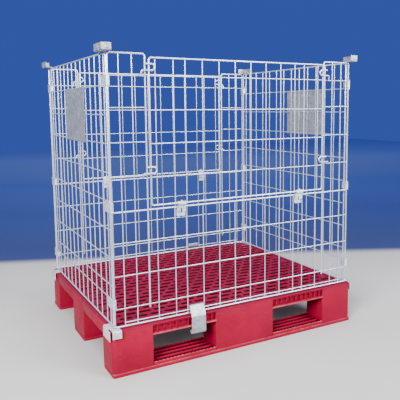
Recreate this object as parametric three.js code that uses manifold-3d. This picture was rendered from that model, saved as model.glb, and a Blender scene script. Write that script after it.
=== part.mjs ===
// Collapsible wire mesh container on a plastic pallet.
// Millimetres. +X right, +Y to the rear, +Z up. Origin on the floor under the centre.
import * as THREE from 'three';
import { mergeVertices } from 'three/addons/utils/BufferGeometryUtils.js';
import Module from 'manifold-3d';

const wasm = await Module();
wasm.setup();

// Gap left between pieces that touch.
const GAP = 0.3;

// Pallet.
const PALLET_HALF_X = 600;
const PALLET_HALF_Y = 500;
const PALLET_TOP = 190;
const PALLET_CORNER_R = 22;
const DECK_SKIN = 8;
const RIM_BOTTOM = 140;
const RIM_WALL = 9;
const BLOCK_BOTTOM = 15;
const BLOCKS_X = [[-600, -430], [-146, 146], [430, 600]];
const BLOCKS_Y = [[-500, -375], [-85, 85], [375, 500]];
const POCKETS_X = [[-430, -146], [146, 430]];
const SKID_BAR_TOP = 32;
const BAND_LIP = [143, 151];
const BAND_DEPTH = 12;
const BAND_RIB_PITCH = 27;
const BAND_RIB = 3;
const DECK_SLOT_X = 96;
const DECK_SLOT_Y = 30;
const DECK_SLOT_COLUMNS = 8;
const DECK_SLOT_ROWS = 6;

// Cage. Heights are measured from the centre of the bottom rail.
const RAIL_Z = 197.3;
const CAGE_X = 581;
const CAGE_Y = 481;
const FRAME_R = 4;
const MESH_HALF = 2.6;
const BEND_R = 10;
const CAGE_TOP = 1050;
const MID_RAIL = 451;
const SECOND_BAR = 15;
const GATE_POST = 434;
const GATE_POST_END = 57;
const OUTER_COLUMNS = [486, 538];
const GATE_COLUMNS = [38.25, 114.75, 191.25, 267.75, 318.75, 395.25];
const LOWER_ROWS = [72, 201, 330];
const UPPER_ROWS = [586, 717, 848, 967];
const SIDE_FRAME_Y = 464;
const SIDE_COLUMNS = [35, 105, 175, 245, 315, 385, 430];
const SIDE_ROWS = [107, 163, 273, 383, 493, 603, 713, 822, 932];

// Half-drop gate. Its bottom wire is the hinge axis.
const GATE_Y = 491;
const GATE_HALF = 421.6;
const GATE_BOTTOM = 468;
const GATE_TOP = 1036;
const GATE_ROWS = [580, 709, 838, 968];
const HINGE_X = 293.25;
const HINGE_WIDTH = 41;

// Latch hooks.
const HOOK_R = 3;
const HOOK_Y = 497.4;
const HOOK_LEVELS = [{ leg: 988, tip: 968 }, { leg: 595, tip: 584 }];

// Corner clips: full height, and the part of it that clears the mesh rows. The left ones reach the first
// column of the side panel, the right ones only its frame wire.
const CLIP_LEVELS = [
  { full: [929, 970], clear: [937, 961] },
  { full: [452, 492], clear: [457, 487] },
  { full: [73, 115], clear: [77, 102] },
];
const LONG_CLIP = { end: -424, dimple: [-453, -441] };
const SHORT_CLIP = { end: -455, dimple: [-476, -469] };

// Stacking flanges.
const FLANGE_TOP = 1083;
const FLANGE_SHEET = 2.5;

// Hold-down clamp.
const CLAMP_X = [-262, -197];
const CLAMP_SHEET = 2.5;

// Label plates.
const LABEL_ROWS = [706, 934.9];
const LABEL_LEFT_Y = [-177, 123];
const LABEL_RIGHT_Y = [-287, 13];

const ZINC = { color: 0xd9dcde, metalness: 0.85, roughness: 0.35 };
const SHEET = { color: 0xc4c8ca, metalness: 0.8, roughness: 0.45 };
const PLASTIC = { color: 0xb3122c, metalness: 0, roughness: 0.55 };

const container = new THREE.Group();
container.name = 'wire_mesh_container';

function toManifold(geometry) {
  const bare = new THREE.BufferGeometry();
  bare.setAttribute('position', geometry.getAttribute('position'));
  bare.setIndex(geometry.getIndex());
  const merged = mergeVertices(bare, 1e-4);
  const positions = merged.getAttribute('position').array;
  const vertProperties = positions.map((value) => Math.round(value * 1000) / 1000);
  const triVerts = new Uint32Array(merged.getIndex().array);
  return new wasm.Manifold(new wasm.Mesh({ numProp: 3, vertProperties, triVerts }));
}

function fromManifold(body) {
  const { vertProperties, triVerts } = body.getMesh();
  const geometry = new THREE.BufferGeometry();
  geometry.setAttribute('position', new THREE.BufferAttribute(vertProperties, 3));
  geometry.setIndex(new THREE.BufferAttribute(triVerts, 1));
  return geometry;
}

function fuse(geometries) {
  return wasm.Manifold.union(geometries.map(toManifold));
}

function box([x0, x1], [y0, y1], [z0, z1]) {
  const geometry = new THREE.BoxGeometry(x1 - x0, y1 - y0, z1 - z0);
  geometry.translate((x0 + x1) / 2, (y0 + y1) / 2, (z0 + z1) / 2);
  return geometry;
}

// A ring of points round `start`, square to `along`.
function startRing(start, along, radius, sides) {
  const helper = Math.abs(along.z) > 0.9 ? new THREE.Vector3(1, 0, 0) : new THREE.Vector3(0, 0, 1);
  const side = new THREE.Vector3().crossVectors(helper, along).normalize();
  const up = new THREE.Vector3().crossVectors(along, side);
  const ring = [];
  for (let i = 0; i < sides; i += 1) {
    const angle = ((i + 0.5) / sides) * 2 * Math.PI;
    const point = start.clone();
    point.addScaledVector(side, radius * Math.cos(angle));
    point.addScaledVector(up, radius * Math.sin(angle));
    ring.push(point);
  }
  return ring;
}

// Slides every ring point along `along` until it meets the plane through `at`.
function slideRing(ring, along, at, normal) {
  return ring.map((point) => {
    const distance = at.clone().sub(point).dot(normal) / along.dot(normal);
    return point.clone().addScaledVector(along, distance);
  });
}

// A wire of constant section along straight pieces, mitred where they meet.
function wire(path, radius, sides, closed = false) {
  const count = path.length;
  const direction = (i) => path[(i + 1) % count].clone().sub(path[i % count]).normalize();
  const first = direction(0);
  const before = closed ? direction(count - 1) : first;
  let ring = startRing(path[0], first, radius, sides);
  ring = slideRing(ring, first, path[0], first.clone().add(before).normalize());
  const rings = [ring];
  for (let i = 1; i < count; i += 1) {
    const along = direction(i - 1);
    const next = i < count - 1 || closed ? direction(i) : along;
    ring = slideRing(ring, along, path[i], along.clone().add(next).normalize());
    rings.push(ring);
  }
  const positions = rings.flat().flatMap((point) => point.toArray());
  const index = [];
  const spans = closed ? count : count - 1;
  for (let i = 0; i < spans; i += 1) {
    const a = i * sides;
    const b = ((i + 1) % count) * sides;
    for (let j = 0; j < sides; j += 1) {
      const k = (j + 1) % sides;
      index.push(a + j, a + k, b + k, a + j, b + k, b + j);
    }
  }
  if (!closed) {
    const last = (count - 1) * sides;
    for (let j = 1; j < sides - 1; j += 1) {
      index.push(0, j + 1, j);
      index.push(last, last + j, last + j + 1);
    }
  }
  const geometry = new THREE.BufferGeometry();
  geometry.setAttribute('position', new THREE.Float32BufferAttribute(positions, 3));
  geometry.setIndex(index);
  return geometry;
}

// Replaces a corner by a short arc of straight pieces.
function arcCorner(from, corner, to, radius, steps) {
  const a = from.clone().sub(corner).normalize();
  const b = to.clone().sub(corner).normalize();
  const half = Math.acos(a.dot(b)) / 2;
  const inset = radius / Math.tan(half);
  const start = corner.clone().addScaledVector(a, inset);
  const end = corner.clone().addScaledVector(b, inset);
  const bisector = a.clone().add(b).normalize();
  const centre = corner.clone().addScaledVector(bisector, radius / Math.sin(half));
  const points = [];
  for (let i = 0; i <= steps; i += 1) {
    const point = start.clone().lerp(end, i / steps).sub(centre);
    points.push(centre.clone().addScaledVector(point.normalize(), radius));
  }
  return points;
}

function roundedPath(corners, radius, steps, closed = false) {
  const count = corners.length;
  const points = [];
  corners.forEach((corner, i) => {
    if (!closed && (i === 0 || i === count - 1)) {
      points.push(corner.clone());
      return;
    }
    const from = corners[(i + count - 1) % count];
    const to = corners[(i + 1) % count];
    points.push(...arcCorner(from, corner, to, radius, steps));
  });
  return points;
}

// A sheet section drawn as [u, v] points and pushed along the third axis.
function profile(outline, depth, hole = null) {
  const shape = new THREE.Shape(outline.map(([u, v]) => new THREE.Vector2(u, v)));
  if (hole) {
    shape.holes.push(new THREE.Path(hole.map(([u, v]) => new THREE.Vector2(u, v))));
  }
  return new THREE.ExtrudeGeometry(shape, { depth, bevelEnabled: false });
}

// Section in Y and Z, pushed along X from x0 to x1.
function profileAlongX(outline, [x0, x1], hole = null) {
  const geometry = profile(outline, x1 - x0, hole);
  geometry.applyMatrix4(new THREE.Matrix4().set(0, 0, 1, x0, 1, 0, 0, 0, 0, 1, 0, 0, 0, 0, 0, 1));
  return geometry;
}

// Section in X and Z, pushed along Y from y0 to y1.
function profileAlongY(outline, [y0, y1]) {
  const geometry = profile(outline.map(([x, z]) => [z, x]), y1 - y0);
  geometry.applyMatrix4(new THREE.Matrix4().set(0, 1, 0, 0, 0, 0, 1, y0, 1, 0, 0, 0, 0, 0, 0, 1));
  return geometry;
}

// Section in X and Y, pushed along Z from z0 to z1.
function profileAlongZ(outline, [z0, z1]) {
  const geometry = profile(outline, z1 - z0);
  geometry.translate(0, 0, z0);
  return geometry;
}

function addNode(name, body, look) {
  const geometry = fromManifold(body).toNonIndexed();
  geometry.computeVertexNormals();
  const material = new THREE.MeshStandardMaterial(look);
  material.name = name;
  const mesh = new THREE.Mesh(geometry, material);
  mesh.name = name;
  container.add(mesh);
}

// The same piece on the other corners and on the opposite side.
const turned = (body) => body.rotate([0, 0, 180]);
const mirroredX = (body) => body.mirror([1, 0, 0]);
const mirroredY = (body) => body.mirror([0, 1, 0]);

const railZ = (height) => RAIL_Z + height;
const both = (values) => values.flatMap((value) => [-value, value]);

// ---------------------------------------------------------------- pallet

function roundedPlate(halfX, halfY, radius, [z0, z1]) {
  const corners = [[halfX, halfY], [-halfX, halfY], [-halfX, -halfY], [halfX, -halfY]];
  const path = roundedPath(corners.map(([x, y]) => new THREE.Vector3(x, y, 0)), radius, 4, true);
  return profileAlongZ(path.map((point) => [point.x, point.y]), [z0, z1]);
}

function deckSlots() {
  const slots = [];
  const pitchX = 1128 / DECK_SLOT_COLUMNS;
  const pitchY = 930 / DECK_SLOT_ROWS;
  for (let row = 0; row < DECK_SLOT_ROWS; row += 1) {
    const shift = row % 2 === 0 ? -pitchX / 8 : pitchX / 8;
    for (let column = 0; column < DECK_SLOT_COLUMNS; column += 1) {
      const x = (column - (DECK_SLOT_COLUMNS - 1) / 2) * pitchX + shift;
      const y = (row - (DECK_SLOT_ROWS - 1) / 2) * pitchY;
      const spanX = [x - DECK_SLOT_X / 2, x + DECK_SLOT_X / 2];
      const spanY = [y - DECK_SLOT_Y / 2, y + DECK_SLOT_Y / 2];
      slots.push(box(spanX, spanY, [PALLET_TOP - DECK_SKIN - 1, PALLET_TOP + 1]));
    }
  }
  return slots;
}

// The ribbed band above one fork pocket, on the front face.
function pocketBand([x0, x1]) {
  const back = -PALLET_HALF_Y + BAND_DEPTH;
  const solids = [
    box([x0, x1], [back, back + 8], [BAND_LIP[0], PALLET_TOP - 1]),
    box([x0, x1], [-PALLET_HALF_Y, back + 1], BAND_LIP),
  ];
  for (let x = x0 + BAND_RIB_PITCH / 2; x < x1; x += BAND_RIB_PITCH) {
    solids.push(box([x, x + BAND_RIB], [-PALLET_HALF_Y + 2, back + 1], [BAND_LIP[1] - 1, PALLET_TOP - 1]));
  }
  return solids;
}

function underRibs() {
  const ribs = [];
  const span = [RIM_BOTTOM + 12, PALLET_TOP - 1];
  for (const x of both([217, 288, 359])) {
    ribs.push(box([x - 3, x + 3], [-485, 485], span));
  }
  for (const y of both([158, 230, 302])) {
    ribs.push(box([-592, 592], [y - 3, y + 3], span));
  }
  return ribs;
}

function palletDeck() {
  const outline = [PALLET_HALF_X, PALLET_HALF_Y, PALLET_CORNER_R];
  const skin = roundedPlate(...outline, [PALLET_TOP - DECK_SKIN, PALLET_TOP]);
  const envelope = roundedPlate(...outline, [BLOCK_BOTTOM, PALLET_TOP]);
  const solids = [];
  for (const spanX of BLOCKS_X) {
    for (const spanY of BLOCKS_Y) {
      solids.push(box(spanX, spanY, [BLOCK_BOTTOM, PALLET_TOP - 1]));
    }
  }
  for (const side of [-1, 1]) {
    const wall = [side * PALLET_HALF_X, side * (PALLET_HALF_X - RIM_WALL)].sort((a, b) => a - b);
    solids.push(box(wall, [-490, 490], [RIM_BOTTOM, PALLET_TOP - 1]));
  }
  const bands = POCKETS_X.flatMap(pocketBand);
  const rearBands = POCKETS_X.flatMap(pocketBand).map((geometry) => geometry.rotateZ(Math.PI));
  const body = fuse([...solids, ...bands, ...rearBands, ...underRibs()]);
  const trimmed = body.intersect(toManifold(envelope));
  return trimmed.add(toManifold(skin).subtract(fuse(deckSlots())));
}

// A bottom runner: thin under the blocks, thicker across the fork pockets.
function palletSkid([y0, y1]) {
  const base = roundedPlate(PALLET_HALF_X, (y1 - y0) / 2, 6, [0, BLOCK_BOTTOM - GAP]);
  base.translate(0, (y0 + y1) / 2, 0);
  const bars = POCKETS_X.map(([x0, x1]) => box([x0 + GAP, x1 - GAP], [y0, y1], [0, SKID_BAR_TOP]));
  return fuse([base, ...bars]);
}

// ---------------------------------------------------------------- mesh panels

const frontPoint = (x, height, y = -CAGE_Y) => new THREE.Vector3(x, y, railZ(height));

function frontColumn(x, [h0, h1], centreY = -CAGE_Y + MESH_HALF) {
  const spanX = [x - MESH_HALF, x + MESH_HALF];
  return box(spanX, [centreY - MESH_HALF, centreY + MESH_HALF], [railZ(h0), railZ(h1)]);
}

function frontRow(height, spanX, centreY = -CAGE_Y - MESH_HALF) {
  const spanZ = [railZ(height) - MESH_HALF, railZ(height) + MESH_HALF];
  return box(spanX, [centreY - MESH_HALF, centreY + MESH_HALF], spanZ);
}

function lowerPanel() {
  const top = MID_RAIL + FRAME_R;
  const corners = [
    frontPoint(-CAGE_X, top), frontPoint(-CAGE_X, 0), frontPoint(CAGE_X, 0), frontPoint(CAGE_X, top),
  ];
  const solids = [
    wire(roundedPath(corners, BEND_R, 3), FRAME_R, 6),
    wire([frontPoint(-CAGE_X, MID_RAIL), frontPoint(CAGE_X, MID_RAIL)], FRAME_R, 8),
  ];
  solids.push(frontRow(SECOND_BAR, both([OUTER_COLUMNS[1] + MESH_HALF])));
  for (const x of both([GATE_POST])) {
    solids.push(wire([frontPoint(x, GATE_POST_END), frontPoint(x, top)], FRAME_R, 6));
  }
  for (const x of both([...OUTER_COLUMNS, ...GATE_COLUMNS])) {
    solids.push(frontColumn(x, [0, MID_RAIL]));
  }
  for (const height of LOWER_ROWS) {
    solids.push(frontRow(height, [-CAGE_X, CAGE_X]));
  }
  return fuse(solids);
}

// The fixed section left of the gate.
function upperPanel() {
  const bottom = MID_RAIL + FRAME_R + GAP;
  const corners = [
    frontPoint(-CAGE_X, bottom), frontPoint(-CAGE_X, CAGE_TOP),
    frontPoint(-GATE_POST, CAGE_TOP), frontPoint(-GATE_POST, bottom),
  ];
  const solids = [wire(roundedPath(corners, BEND_R, 3), FRAME_R, 6)];
  for (const x of OUTER_COLUMNS) {
    solids.push(frontColumn(-x, [bottom, CAGE_TOP]));
  }
  for (const height of UPPER_ROWS) {
    solids.push(frontRow(height, [-CAGE_X, -GATE_POST]));
  }
  return fuse(solids);
}

function gatePanel() {
  const corners = [
    frontPoint(-GATE_HALF, GATE_BOTTOM, -GATE_Y), frontPoint(GATE_HALF, GATE_BOTTOM, -GATE_Y),
    frontPoint(GATE_HALF, GATE_TOP, -GATE_Y), frontPoint(-GATE_HALF, GATE_TOP, -GATE_Y),
  ];
  const solids = [wire(roundedPath(corners, BEND_R, 3, true), FRAME_R, 6, true)];
  for (const x of both(GATE_COLUMNS)) {
    solids.push(frontColumn(x, [GATE_BOTTOM, GATE_TOP], -GATE_Y + 2 * MESH_HALF));
  }
  for (const height of GATE_ROWS) {
    solids.push(frontRow(height, [-GATE_HALF, GATE_HALF], -GATE_Y));
  }
  return fuse(solids);
}

function sidePanel() {
  const corner = (y, height) => new THREE.Vector3(-CAGE_X, y, railZ(height));
  const corners = [
    corner(-SIDE_FRAME_Y, 0), corner(SIDE_FRAME_Y, 0),
    corner(SIDE_FRAME_Y, CAGE_TOP), corner(-SIDE_FRAME_Y, CAGE_TOP),
  ];
  const solids = [wire(roundedPath(corners, BEND_R, 3, true), FRAME_R, 6, true)];
  const inner = [-CAGE_X + MESH_HALF - MESH_HALF, -CAGE_X + MESH_HALF + MESH_HALF];
  const outer = [-CAGE_X - MESH_HALF - MESH_HALF, -CAGE_X - MESH_HALF + MESH_HALF];
  for (const y of both(SIDE_COLUMNS)) {
    solids.push(box(inner, [y - MESH_HALF, y + MESH_HALF], [railZ(0), railZ(CAGE_TOP)]));
  }
  for (const height of SIDE_ROWS) {
    const spanZ = [railZ(height) - MESH_HALF, railZ(height) + MESH_HALF];
    solids.push(box(outer, [-SIDE_FRAME_Y, SIDE_FRAME_Y], spanZ));
  }
  return fuse(solids);
}

// ---------------------------------------------------------------- gate hardware

// Folded plate: the upper chamber holds the gate's bottom wire, the lower one rides on the rail.
function hingePlate(centreX) {
  const outline = [
    [-497.2, 470.7], [-497.2, 461.2], [-487.2, 454.8], [-487.2, 430.3], [-482.6, 427], [-482.6, 413],
    [-479.4, 413], [-479.4, 427], [-474.8, 430.3], [-474.8, 458], [-484.8, 464], [-484.8, 470.7],
    [-488.1, 474.2], [-493.9, 474.2],
  ];
  const cavity = [
    [-495.6, 470], [-495.6, 462.1], [-485.6, 455.7], [-485.6, 431], [-482.4, 428.6],
    [-479.6, 428.6], [-476.4, 431], [-476.4, 457.1], [-486.4, 463.1], [-486.4, 470],
    [-488.8, 472.6], [-493.2, 472.6],
  ];
  const lift = (points) => points.map(([y, height]) => [y, railZ(height)]);
  const spanX = [centreX - HINGE_WIDTH / 2, centreX + HINGE_WIDTH / 2];
  const sheet = toManifold(profileAlongX(lift(outline), spanX, lift(cavity)));
  const slot = box([centreX - 4, centreX + 4], [-500, -470], [railZ(420), railZ(446)]);
  const peak = box([centreX - 5, centreX + 5], [-491.8, -490.2], [railZ(473.8), railZ(479)]);
  return sheet.subtract(toManifold(slot)).add(toManifold(peak));
}

// Bent wire hook on the left gate post: a hairpin over the gate's side wire with its tip turned down.
function latchHook({ leg, tip }) {
  const loopRight = -412;
  const loopTop = leg + 24;
  const corners = [
    frontPoint(-441, loopTop, -HOOK_Y), frontPoint(loopRight + 12, loopTop, -HOOK_Y),
    frontPoint(loopRight + 12, leg, -HOOK_Y), frontPoint(-452, leg, -HOOK_Y),
    frontPoint(-455, tip, -HOOK_Y + 6),
  ];
  return fuse([wire(roundedHook(corners), HOOK_R, 6)]);
}

function roundedHook(corners) {
  const [start, upper, lower, bend, tip] = corners;
  return [
    start,
    ...arcCorner(start, upper, lower, 11.9, 3),
    ...arcCorner(upper, lower, bend, 11.9, 3).slice(1),
    ...arcCorner(lower, bend, tip, 5, 2),
    tip,
  ];
}

// ---------------------------------------------------------------- corner hardware

// Front left corner clip: a plate outside the side panel with its ends turned round the wires.
function cornerClip({ full, clear }, { end, dimple }) {
  const spanFull = full.map(railZ);
  const spanClear = clear.map(railZ);
  const plate = [
    [-588.1, -488], [-576, -488], [-576, -486.5], [-586.6, -486.5], [-586.6, end], [-588.1, end],
  ];
  const frontTurn = [
    [-577, -487.4], [-576, -488], [-575, -487.4], [-574.6, -486.5], [-574.6, -476.5], [-576.2, -476.5],
    [-576.2, -486.8],
  ];
  const rearTurn = [
    [-587.5, end - 1.5], [-587.5, end], [-575, end], [-574, end - 1], [-574, end - 10], [-575.5, end - 10],
    [-575.5, end - 1.5],
  ];
  const middle = (spanFull[0] + spanFull[1]) / 2;
  return fuse([
    profileAlongZ(plate, spanFull), profileAlongZ(frontTurn, spanClear),
    profileAlongZ(rearTurn, spanClear), box([-587, -583.6], dimple, [middle - 7, middle + 7]),
  ]);
}

// Front left stacking plates: a ledge on the top wire and a flange standing outside it. The side flange
// runs to the corner and closes the end of the front one.
function stackingPlateFront() {
  const top = railZ(CAGE_TOP) + FRAME_R + GAP;
  const spanX = [-609 + FLANGE_SHEET + GAP, -572];
  return fuse([
    box(spanX, [-509.5, -478], [top, top + FLANGE_SHEET]),
    box(spanX, [-509.5, -509.5 + FLANGE_SHEET], [top, railZ(FLANGE_TOP)]),
  ]);
}

function stackingPlateSide() {
  const top = railZ(CAGE_TOP) + FRAME_R + GAP;
  return fuse([
    box([-609, -578], [-478 + GAP, -415], [top, top + FLANGE_SHEET]),
    box([-609, -609 + FLANGE_SHEET], [-509.5, -415], [top, railZ(FLANGE_TOP)]),
  ]);
}

// Front left foot plates: a ledge under the bottom rail and a flange down over the pallet edge.
function footPlateFront() {
  const ledge = [PALLET_TOP + GAP, PALLET_TOP + GAP + 2.2];
  return fuse([
    box([-600, -562], [-506, -476], ledge),
    box([-600, -566], [-508.5, -505.5], [railZ(-35), ledge[1]]),
  ]);
}

function footPlateSide() {
  const ledge = [PALLET_TOP + GAP, PALLET_TOP + GAP + 2.2];
  return fuse([
    box([-606, -576], [-470, -412], ledge),
    box([-608.5, -605.5], [-496, -416], [railZ(-47), ledge[1]]),
  ]);
}

// ---------------------------------------------------------------- clamp and labels

// Hold-down clamp: hooked over the second bar, down the pallet edge, lip turned in under the deck.
function holdDownClamp() {
  const centre = [
    [-477.8, 17], [-477.8, 27.5], [-480, 30.5], [-483, 30.2], [-489.6, 20], [-503.6, -11], [-504.4, -40],
    [-504.4, -78], [-501.5, -84.5], [-496.5, -86], [-490.5, -83], [-489, -72],
  ];
  const outline = offsetStrip(centre, CLAMP_SHEET / 2);
  return fuse([profileAlongX(outline.map(([y, height]) => [y, railZ(height)]), CLAMP_X)]);
}

// Outline of a strip of even thickness round a centre line.
function offsetStrip(centre, half) {
  const points = centre.map(([u, v]) => new THREE.Vector2(u, v));
  const last = points.length - 1;
  const left = [];
  const right = [];
  points.forEach((point, i) => {
    const before = points[Math.max(i, 1)].clone().sub(points[Math.max(i, 1) - 1]).normalize();
    const after = points[Math.min(i, last - 1) + 1].clone().sub(points[Math.min(i, last - 1)]).normalize();
    const along = before.clone().add(after).normalize();
    const reach = half / along.dot(after);
    left.push([point.x - along.y * reach, point.y + along.x * reach]);
    right.push([point.x + along.y * reach, point.y - along.x * reach]);
  });
  return [...left, ...right.reverse()];
}

// Label plate hung over one mesh row on the outside of the left panel.
function labelPlate(spanY) {
  const [low, high] = LABEL_ROWS.map(railZ);
  const outline = [
    [-587.8, low], [-586.5, low], [-586.5, high], [-581.5, high], [-581.5, high + 1.3],
    [-587.8, high + 1.3],
  ];
  return fuse([profileAlongY(outline, spanY)]);
}

// ---------------------------------------------------------------- assembly

function addPallet() {
  addNode('pallet_deck', palletDeck(), PLASTIC);
  addNode('pallet_skid_front', palletSkid(BLOCKS_Y[0]), PLASTIC);
  addNode('pallet_skid_middle', palletSkid(BLOCKS_Y[1]), PLASTIC);
  addNode('pallet_skid_rear', palletSkid(BLOCKS_Y[2]), PLASTIC);
}

// One long side of the cage; the rear one is the same turned half round.
function addLongSide(side, place) {
  addNode(`${side}_panel_lower`, place(lowerPanel()), ZINC);
  addNode(`${side}_panel_upper_a`, place(upperPanel()), ZINC);
  addNode(`${side}_panel_upper_b`, place(mirroredX(upperPanel())), ZINC);
  addNode(`${side}_gate`, place(gatePanel()), ZINC);
  addNode(`${side}_hinge_plate_a`, place(hingePlate(-HINGE_X)), SHEET);
  addNode(`${side}_hinge_plate_b`, place(hingePlate(HINGE_X)), SHEET);
  HOOK_LEVELS.forEach((level, i) => {
    const name = `${side}_hook_${i === 0 ? 'top' : 'low'}`;
    addNode(`${name}_a`, place(latchHook(level)), ZINC);
    addNode(`${name}_b`, place(mirroredX(latchHook(level))), ZINC);
  });
  addNode(`${side}_clamp`, place(holdDownClamp()), SHEET);
  addNode(`${side}_foot_plate`, place(footPlateFront()), SHEET);
}

function addShortSides() {
  addNode('left_panel', sidePanel(), ZINC);
  addNode('right_panel', turned(sidePanel()), ZINC);
  addNode('left_label_plate', labelPlate(LABEL_LEFT_Y), SHEET);
  addNode('right_label_plate', mirroredX(labelPlate(LABEL_RIGHT_Y)), SHEET);
}

function addCorners() {
  const corners = {
    front_left: (body) => body,
    front_right: mirroredX,
    rear_left: mirroredY,
    rear_right: turned,
  };
  for (const [corner, place] of Object.entries(corners)) {
    const reach = corner.endsWith('left') ? LONG_CLIP : SHORT_CLIP;
    CLIP_LEVELS.forEach((level, i) => {
      addNode(`${corner}_clip_${['top', 'mid', 'low'][i]}`, place(cornerClip(level, reach)), SHEET);
    });
    addNode(`${corner}_stack_plate_long`, place(stackingPlateFront()), SHEET);
    addNode(`${corner}_stack_plate_short`, place(stackingPlateSide()), SHEET);
    addNode(`${corner}_foot_plate_short`, place(footPlateSide()), SHEET);
  }
}

addPallet();
addLongSide('front', (body) => body);
addLongSide('rear', turned);
addShortSides();
addCorners();

export default container;
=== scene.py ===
"""Looks of the wire mesh container: round zinc wires, folded sheet parts and a moulded red pallet."""

import math

import bpy
from mathutils import Matrix, Vector


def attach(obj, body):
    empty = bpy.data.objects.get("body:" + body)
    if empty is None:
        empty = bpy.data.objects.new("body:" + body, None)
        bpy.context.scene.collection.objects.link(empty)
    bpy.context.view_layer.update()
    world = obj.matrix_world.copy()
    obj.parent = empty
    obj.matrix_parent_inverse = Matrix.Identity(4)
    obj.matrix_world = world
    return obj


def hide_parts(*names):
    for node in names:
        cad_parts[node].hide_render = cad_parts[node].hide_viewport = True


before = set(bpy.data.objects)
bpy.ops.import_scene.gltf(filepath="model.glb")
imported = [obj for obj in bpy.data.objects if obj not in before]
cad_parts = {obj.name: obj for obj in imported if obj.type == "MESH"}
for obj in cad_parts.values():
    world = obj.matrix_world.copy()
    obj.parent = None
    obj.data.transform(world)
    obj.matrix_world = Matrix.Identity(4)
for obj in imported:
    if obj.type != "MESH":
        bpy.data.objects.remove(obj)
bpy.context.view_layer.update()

ROOT = "cage_and_pallet"

# All sizes below are millimetres in the part's frame; meshes are written in metres.
RAIL_Z = 197.3
CAGE_X = 581.0
CAGE_Y = 481.0
FRAME_R = 3.3
MESH_R = 2.0
CROSS = 2.0
BEND = 10.0
CAGE_TOP = 1050.0
MID_RAIL = 451.0
SECOND_BAR = 15.0
GATE_POST = 434.0
OUTER_COLUMNS = (486.0, 538.0)
GATE_COLUMNS = (38.25, 114.75, 191.25, 267.75, 318.75, 395.25)
LOWER_ROWS = (72.0, 201.0, 330.0)
UPPER_ROWS = (586.0, 717.0, 848.0, 967.0)
SIDE_FRAME_Y = 464.0
SIDE_COLUMNS = (35.0, 105.0, 175.0, 245.0, 315.0, 385.0, 430.0)
SIDE_ROWS = (107.0, 163.0, 273.0, 383.0, 493.0, 603.0, 713.0, 822.0, 932.0)
GATE_Y = 491.0
GATE_HALF = 421.6
GATE_BOTTOM = 468.0
GATE_TOP = 1036.0
GATE_ROWS = (580.0, 709.0, 838.0, 968.0)
FLANGE_TOP = 1083.0
STACK_SEAT = CAGE_TOP + 5.55
HINGE_X = 293.25
HINGE_HALF = 18.5

PALLET_X = 600.0
PALLET_Y = 500.0
PALLET_TOP = 190.0
FOOT_SEAT = PALLET_TOP + 1.4 - RAIL_Z
BLOCKS_X = ((-600.0, -430.0), (-146.0, 146.0), (430.0, 600.0))
BLOCKS_Y = ((-500.0, -375.0), (-85.0, 85.0), (375.0, 500.0))
POCKETS_X = ((-430.0, -146.0), (146.0, 430.0))

# Faces of a folded sheet larger than this, in square metres, are flat.
SHEET_FLAT = 1.0e-4
# Edges that turn by more than this are sharp.
CREASE = math.radians(40.0)

HALF_TURN = Matrix.Rotation(math.pi, 4, "Z")
MIRROR_X = Matrix.Scale(-1, 4, (1, 0, 0))
MIRROR_Y = Matrix.Scale(-1, 4, (0, 1, 0))


def rail(height):
    return RAIL_Z + height


def both(values):
    return [side * value for value in values for side in (-1, 1)]


# ---------------------------------------------------------------- mesh building


class Form:
    """Gathers closed skins, in millimetres."""

    def __init__(self):
        self.verts = []
        self.faces = []
        self.sheet = False

    def add(self, verts, faces):
        base = len(self.verts)
        self.verts += [Vector(v) for v in verts]
        self.faces += [tuple(base + i for i in face) for face in faces]

    def loft(self, rings, closed=False, capped=True):
        """Joins rings of equal length; caps are n-gons."""
        n = len(rings[0])
        faces = []
        spans = len(rings) if closed else len(rings) - 1
        for i in range(spans):
            a = i * n
            b = (i + 1) % len(rings) * n
            faces += [(a + j, a + (j + 1) % n, b + (j + 1) % n, b + j) for j in range(n)]
        if capped and not closed:
            last = (len(rings) - 1) * n
            faces.append(tuple(reversed(range(n))))
            faces.append(tuple(last + j for j in range(n)))
        self.add([v for ring in rings for v in ring], faces)

    def moved(self, matrix):
        other = Form()
        other.verts = [matrix @ v for v in self.verts]
        flip = matrix.determinant() < 0
        other.faces = [tuple(reversed(face)) if flip else face for face in self.faces]
        other.sheet = self.sheet
        return other

    def mesh(self, name):
        data = bpy.data.meshes.new(name)
        data.from_pydata([v / 1000 for v in self.verts], [], self.faces)
        data.set_sharp_from_angle(angle=CREASE)
        smooth = [not (self.sheet and lies_flat(polygon)) for polygon in data.polygons]
        data.polygons.foreach_set("use_smooth", smooth)
        data.update()
        return data

    def object(self, name):
        obj = bpy.data.objects.new(name, self.mesh(name))
        bpy.context.scene.collection.objects.link(obj)
        return obj


def arc_corner(before, corner, after, radius, steps):
    """Points of the arc that rounds one corner of a path."""
    a = (before - corner).normalized()
    b = (after - corner).normalized()
    half = a.angle(b) / 2
    if half > math.pi / 2 - 0.01:
        return [corner.copy()]
    inset = min(radius / math.tan(half), (before - corner).length * 0.49, (after - corner).length * 0.49)
    radius = inset * math.tan(half)
    centre = corner + (a + b).normalized() * (radius / math.sin(half))
    start = corner + a * inset - centre
    end = corner + b * inset - centre
    return [centre + start.slerp(end, i / steps) * radius for i in range(steps + 1)]


def rounded(points, radius, steps=6, closed=False):
    points = [Vector(p) for p in points]
    n = len(points)
    path = []
    for i, point in enumerate(points):
        if not closed and i in (0, n - 1):
            path.append(point)
        else:
            path += arc_corner(points[i - 1], point, points[(i + 1) % n], radius, steps)
    return path


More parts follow.
